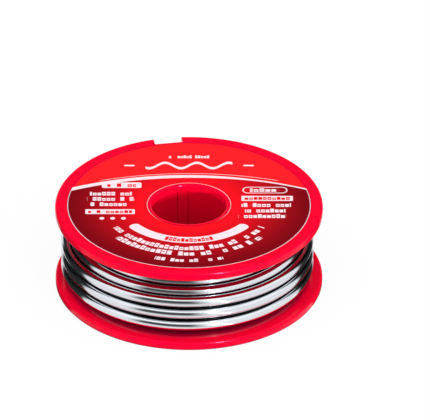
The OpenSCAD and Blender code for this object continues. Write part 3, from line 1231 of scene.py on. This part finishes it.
    def build(self, shop: Workshop) -> None:
        """Builds and dresses the strand, its flux and the inner body."""
        path, flux_r = self.path(), self.flux_d / 2
        wire = self.tube(path, self.wire_d / 2, self.sides, flux_r + self.flux_gap)
        flux = self.tube(path[::self.flux_step], flux_r, self.flux_sides, 0.0)
        shop.dress(make_piece("wound_wire", [wire], self.sharp), DrawnSolder(), "solder_wire")
        shop.dress(make_piece("inner_layers", [self.inner_body()]), DrawnSolder(), "wound_core")
        shop.dress(make_piece("flux_strand", [flux], self.sharp), AmberFlux(), "flux_core")


# ---------------------------------------------------------------- studio


@dataclass
class Studio:
    """A white table in a soft white room, brighter from the camera's side, with a strip lamp on the right.

    What the bright metal sees is a fuller picture of that room: a darker place round the camera, a dark flag
    on each side, a dim rear wall and the strip. Azimuths run from the camera's side towards +X, in degrees.
    A span whose first number is the larger one falls from 1 to 0 as the value grows.
    """

    room_level: float = 1.02
    room_slope: float = 0.62
    low_share: float = 0.6
    overhead_share: float = 0.5
    overhead_span: Pair = (0.0, 0.5)
    table_albedo: float = 0.35
    table_size: float = 3000.0
    table_down: float = 0.02
    table_shadow: float = 0.08
    table_level: float = 0.92
    white: float = 0.95
    wall_rise: float = 0.20
    wall_span: Pair = (20.0, 55.0)
    rear_sides: Pair = (118.0, 128.0)
    rear_foot: Pair = (7.0, 13.0)
    rear_top: Pair = (82.0, 62.0)
    rear_dark: float = 0.97
    left_flag: Pair = (-141.0, -98.0)
    right_flag: Pair = (112.0, 147.0)
    flag_foot: Pair = (15.0, 12.5)
    flag_top: Pair = (75.0, 55.0)
    flag_dark: float = 0.98
    flag_dark_below: float = 0.97
    far_place: Pair = (-42.0, 12.0)
    far_span: Pair = (26.0, 60.0)
    far_dark: float = 0.8
    dark_place: Pair = (-46.0, 10.0)
    dark_edge: float = 9.0
    dark_top: Pair = (52.0, 34.0)
    dark_level: float = 0.07
    strip_at: float = 24.0
    strip_bells: tuple[Pair, ...] = ((3.4, 1.2), (0.7, 9.0))
    strip_top: Pair = (58.0, 48.0)
    strip_foot: Pair = (22.0, 32.0)
    strip_below: float = 0.4
    lamp_at: Pair = (30.0, 8.5)
    lamp_level: float = 0.55
    lamp_width: float = 4.0
    glint_at: Pair = (26.5, 30.0)
    glint_size: Pair = (12.0, 420.0)
    glint_distance: float = 600.0
    glint_power: float = 15.0
    edge: float = 4.0

    def between(self, value: Signal, span: Pair, edge: float) -> Signal:
        """1 inside a span, 0 outside it, with soft edges."""
        low, high = span
        return value.ease(low - edge, low + edge) * value.ease(high + edge, high - edge)

    def flags(self, azimuth: Signal) -> Signal:
        """1 where a dark flag stands on either side."""
        left = self.between(azimuth, self.left_flag, self.edge)
        return left.at_least(self.between(azimuth, self.right_flag, self.edge))

    def strip(self, azimuth: Signal) -> Signal:
        """The strip lamp's light across its width: a wide weak bell and a narrow strong one."""
        off = azimuth - self.strip_at
        bells = [(off * off * (-1 / half**2)).maths("EXPONENT") * level for half, level in self.strip_bells]
        return sum(bells, start=0.0)

    def table(self) -> None:
        """The table: white with a faint shadow to the eye, and to metal darker in front and at the flags."""
        half, down = self.table_size / 2 * MM, -self.table_down * MM
        mesh = bpy.data.meshes.new("table")
        corners = [(-half, -half, down), (half, -half, down), (half, half, down), (-half, half, down)]
        mesh.from_pydata(corners, [], [(0, 1, 2, 3)])
        material, bench = new_material("white_table")
        x, y, _ = bench.split(bench.place())
        foot_x, foot_y = self.flag_foot
        side = x - x.at_least(-foot_x).at_most(foot_x)
        from_foot = side.maths("ARCTAN2", -(y + foot_y)) * DEGREES
        azimuth = x.maths("ARCTAN2", -y) * DEGREES
        far = self.between(azimuth, self.far_place, 2 * self.edge) * (-y).ease(*self.far_span)
        flags = self.flags(from_foot)
        level = (1 - flags * self.flag_dark_below) * (1 - far * self.far_dark) * self.table_level
        level = level + self.strip(azimuth) * (-y).ease(*self.strip_foot) * self.strip_below
        rays = self.rays(bench)
        camera = rays["Is Camera Ray"]
        level = camera.at_least(level)
        seen = camera.at_least(rays["Is Glossy Ray"]).at_least(rays["Is Transmission Ray"])
        matt = bench.node("ShaderNodeBsdfDiffuse", {}, {"Color": (*[self.table_albedo] * 3, 1.0)})
        shown = bench.node("ShaderNodeBsdfDiffuse", {}, {"Color": (*[self.white] * 3, 1.0)})
        grey = bench.join(level, level, level)
        lit = bench.node("ShaderNodeEmission", {}, {"Color": grey, "Strength": 1.0})
        eye = bench.node("ShaderNodeMixShader", {}, {0: camera * self.table_shadow, 1: lit, 2: shown})
        both = bench.node("ShaderNodeMixShader", {}, {0: seen, 1: matt, 2: eye})
        bench.node("ShaderNodeOutputMaterial", {}, {"Surface": both})
        mesh.materials.append(material)
        add_object("table", mesh)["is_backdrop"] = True

    @staticmethod
    def rays(bench: Bench) -> dict[str, Signal]:
        """The kinds of ray, by name: 1 for that kind and 0 for the rest."""
        outputs = bench.node("ShaderNodeLightPath", {}, {}).socket.node.outputs
        return {out.name: Signal(bench, out) for out in outputs}

    def room(self) -> None:
        """The surroundings: white to the eye, soft light for matt surfaces, the fuller picture for metal."""
        world = bpy.data.worlds.new("room")
        bpy.context.scene.world = world
        world.use_nodes = True
        bench = Bench(world.node_tree)
        rays = self.rays(bench)
        x, y, z = bench.split(bench.node("ShaderNodeTexCoord", {}, {}, "Generated"))
        azimuth = x.maths("ARCTAN2", -y) * DEGREES
        height = z.maths("ARCSINE") * DEGREES
        rear_up = height.ease(*self.rear_foot) * height.ease(*self.rear_top)
        rear = azimuth.size().ease(*self.rear_sides) * rear_up
        dark = self.between(azimuth, self.dark_place, self.dark_edge) * height.ease(*self.dark_top)
        walls = self.white + height.ease(*self.wall_span) * self.wall_rise
        flags = self.flags(azimuth) * height.ease(*self.flag_top)
        picture = walls * (1 - flags * self.flag_dark) * (1 - rear * self.rear_dark)
        picture = picture * (1 - dark) + dark * self.dark_level
        picture = picture + self.strip(azimuth) * height.ease(*self.strip_top)
        overhead = self.low_share + z.ease(*self.overhead_span) * self.overhead_share
        soft = (self.room_level - y * self.room_slope) * overhead
        shiny = rays["Is Glossy Ray"]
        eye = rays["Is Camera Ray"]
        level = eye + (1 - eye) * (shiny * picture + (1 - shiny) * soft)
        sky = bench.node("ShaderNodeBackground", {}, {"Color": (1.0, 1.0, 1.0, 1.0), "Strength": level})
        bench.node("ShaderNodeOutputWorld", {}, {"Surface": sky})

    @staticmethod
    def hang(light: bpy.types.Light, place: Pair, distance: float = 0.0) -> bpy.types.Object:
        """Adds a light that faces the origin.

        Args:
            light: the light.
            place: its azimuth, and its height above the table, in degrees.
            distance: how far off it hangs, in millimetres; a sun's doesn't matter.

        Returns:
            Its object.
        """
        azimuth, height = (math.radians(angle) for angle in place)
        level = math.cos(height)
        away = Vector((math.sin(azimuth) * level, -math.cos(azimuth) * level, math.sin(height)))
        holder = add_object(light.name, light)
        holder.location = away * distance * MM
        holder.rotation_euler = away.to_track_quat("Z", "Y").to_euler()
        return holder

    def lamp(self) -> None:
        """The strip's light on matt surfaces: a distant low lamp on the right that isn't mirrored."""
        light = bpy.data.lights.new("lamp", "SUN")
        light.energy = self.lamp_level * math.pi
        light.angle = math.radians(self.lamp_width)
        light.specular_factor = 0.0
        self.hang(light, self.lamp_at).visible_glossy = False

    def glint(self, mouldings: list[bpy.types.Object]) -> None:
        """The strip lamp itself, which the mouldings alone mirror: a tall thin light without soft light.

        Args:
            mouldings: the pieces that mirror it.
        """
        light = bpy.data.lights.new("glint", "AREA")
        light.shape = "RECTANGLE"
        light.size, light.size_y = (length * MM for length in self.glint_size)
        light.energy = self.glint_power
        holder = self.hang(light, self.glint_at, self.glint_distance)
        holder.visible_diffuse = False
        holder.visible_camera = False
        holder.light_linking.receiver_collection = bpy.data.collections.new("mouldings")
        for piece in mouldings:
            holder.light_linking.receiver_collection.objects.link(piece)

    def build(self, mouldings: list[bpy.types.Object]) -> None:
        """Sets up the table, the room, the lamp and its glint on the mouldings."""
        self.table()
        self.room()
        self.lamp()
        self.glint(mouldings)
        bpy.context.scene.view_settings.view_transform = "Standard"


@dataclass
class Viewpoint:
    """The camera: a long lens at a fixed elevation, with the origin at a chosen place in the frame.

    The frame and the places in it are in pixels, and the scale is pixels to a millimetre at the origin.
    """

    elevation: float = 31.57
    distance: float = 1500.0
    scale: float = 5.331
    frame_w: float = 430.0
    frame_h: float = 420.0
    origin_at: Pair = (188.99, 280.14)
    sensor: float = 36.0
    sight: float = 20000.0

    def build(self) -> None:
        """Places the camera: it looks past the origin by the origin's offset from the frame's centre."""
        pixels = self.scale * self.distance
        camera = bpy.data.cameras.new("camera")
        camera.sensor_width = self.sensor
        camera.sensor_fit = "HORIZONTAL"
        camera.lens = pixels / self.frame_w * self.sensor
        camera.clip_end = self.sight * MM
        e = math.radians(self.elevation)
        right = Vector((1.0, 0.0, 0.0))
        up = Vector((0.0, math.sin(e), math.cos(e)))
        ahead = Vector((0.0, math.cos(e), -math.sin(e)))
        aim = ahead + right * ((self.frame_w / 2 - self.origin_at[0]) / pixels)
        aim += up * ((self.origin_at[1] - self.frame_h / 2) / pixels)
        aim.normalize()
        side = aim.cross(up).normalized()
        top = side.cross(aim)
        turn = Matrix((side, top, -aim)).transposed().to_4x4()
        holder = add_object("camera", camera)
        holder.matrix_world = Matrix.Translation(-ahead * self.distance * MM) @ turn
        bpy.context.scene.camera = holder


def write_sizes() -> None:
    """Writes the CAD box and the dressed model's box as plain lists."""
    boxes = {"cad": cad_box, "visual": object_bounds()}
    plain = {name: [[float(v) for v in corner] for corner in box] for name, box in boxes.items()}
    log.info("boxes: %s", plain)


def main() -> None:
    """Builds the spool's pieces in order, then the studio and the camera."""
    logging.basicConfig(level=logging.INFO, format="%(message)s")
    sizes = SpoolSizes()
    shop = Workshop()
    Viewpoint().build()
    mouldings = [UpperMoulding(sizes).build(shop), LowerMoulding(sizes).build(shop)]
    Label(sizes, Side.FACE).build(shop)
    Label(sizes, Side.BASE).build(shop)
    Winding(sizes).build(shop)
    Studio().build(mouldings)
    write_sizes()


if __name__ == "__main__":
    main()
